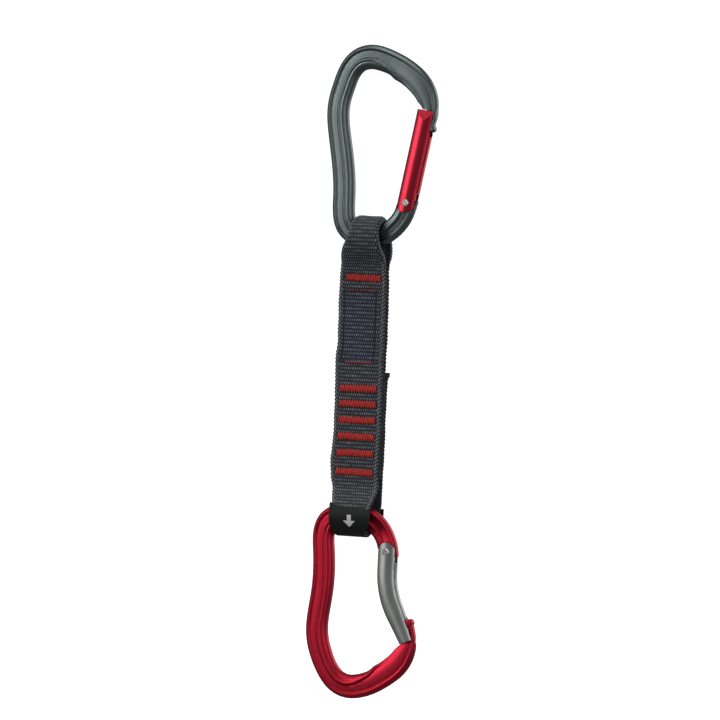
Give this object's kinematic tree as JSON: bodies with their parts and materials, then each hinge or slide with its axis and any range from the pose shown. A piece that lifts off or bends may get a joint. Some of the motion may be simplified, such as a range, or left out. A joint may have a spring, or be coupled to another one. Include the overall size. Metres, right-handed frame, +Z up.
{
  "type": "climbing quickdraw",
  "caption": "Climbing quickdraw: a straight-gate and a bent-gate carabiner joined by a sewn webbing sling, with a rubber keeper holding the rope-end carabiner square.",
  "frame": {"origin": "point of the upper carabiner's basket that rests on the bolt hanger, on the middle plane of both frames", "axes": "+Z up along the hanging quickdraw, +X towards the gate side of both carabiners, -Y out of the sling's front face, which carries the keeper's mark"},
  "size_m": [0.0615, 0.0233, 0.3335],
  "materials": {
    "frame_grey": "satin anodised",
    "frame_red": "satin anodised",
    "gate_red": "satin anodised",
    "gate_grey": "satin anodised",
    "steel": "bright",
    "webbing": "woven nylon",
    "thread": "bonded nylon thread",
    "keeper_rubber": "matt",
    "print_white": "printed"
  },
  "bodies": {
    "top_carabiner": {"top_carabiner_frame": "frame_grey"},
    "top_gate_arm": {"top_gate": "gate_red", "top_gate_rivet": "steel", "top_gate_spring": "steel"},
    "top_plunger": {"top_gate_plunger": "steel"},
    "sling": {"sling_webbing": "webbing", "bar_tack_top": "thread", "bar_tack_1": "thread", "bar_tack_2": "thread", "bar_tack_3": "thread", "bar_tack_4": "thread", "bar_tack_5": "thread", "bar_tack_6": "thread", "stitch_row_upper": "thread", "stitch_row_lower": "thread", "rubber_keeper": "keeper_rubber", "keeper_mark": "print_white"},
    "bottom_carabiner": {"bottom_carabiner_frame": "frame_red"},
    "bottom_gate_arm": {"bottom_gate": "gate_grey", "bottom_gate_rivet": "steel", "bottom_gate_spring": "steel"},
    "bottom_plunger": {"bottom_gate_plunger": "steel"}
  },
  "joints": [
    {"name": "top_gate_hinge", "type": "hinge", "parent": "top_carabiner", "child": "top_gate_arm", "pos_m": [0.0209, 0, -0.067], "axis": [0, -1, 0], "range_deg": [0, 28], "stiffness_Nm_per_rad": 0.3, "springref_deg": -28.65},
    {"name": "top_plunger_slide", "type": "slide", "parent": "top_gate_arm", "child": "top_plunger", "axis": [0.1754, 0, 0.9845], "range_m": [0, 0.001], "deforming": ["top_gate_spring"]},
    {"name": "sling_swing", "type": "hinge", "parent": "top_carabiner", "child": "sling", "pos_m": [0, 0, -0.0854], "axis": [1, 0, 0], "range_deg": [-60, 60]},
    {"name": "bottom_carabiner_swing", "type": "hinge", "parent": "sling", "child": "bottom_carabiner", "pos_m": [0, 0, -0.2263], "axis": [1, 0, 0], "range_deg": [-30, 30]},
    {"name": "bottom_gate_hinge", "type": "hinge", "parent": "bottom_carabiner", "child": "bottom_gate_arm", "pos_m": [0.0197, 0, -0.2444], "axis": [0, 1, 0], "range_deg": [0, 28], "stiffness_Nm_per_rad": 0.3, "springref_deg": -28.65},
    {"name": "bottom_plunger_slide", "type": "slide", "parent": "bottom_gate_arm", "child": "bottom_plunger", "axis": [0, 0, -1], "range_m": [0, 0.001], "deforming": ["bottom_gate_spring"]}
  ],
  "couplings": [
    {"joint": "top_plunger_slide", "follows": "top_gate_hinge", "m_per_rad": 0.002},
    {"joint": "bottom_plunger_slide", "follows": "bottom_gate_hinge", "m_per_rad": 0.002}
  ]
}
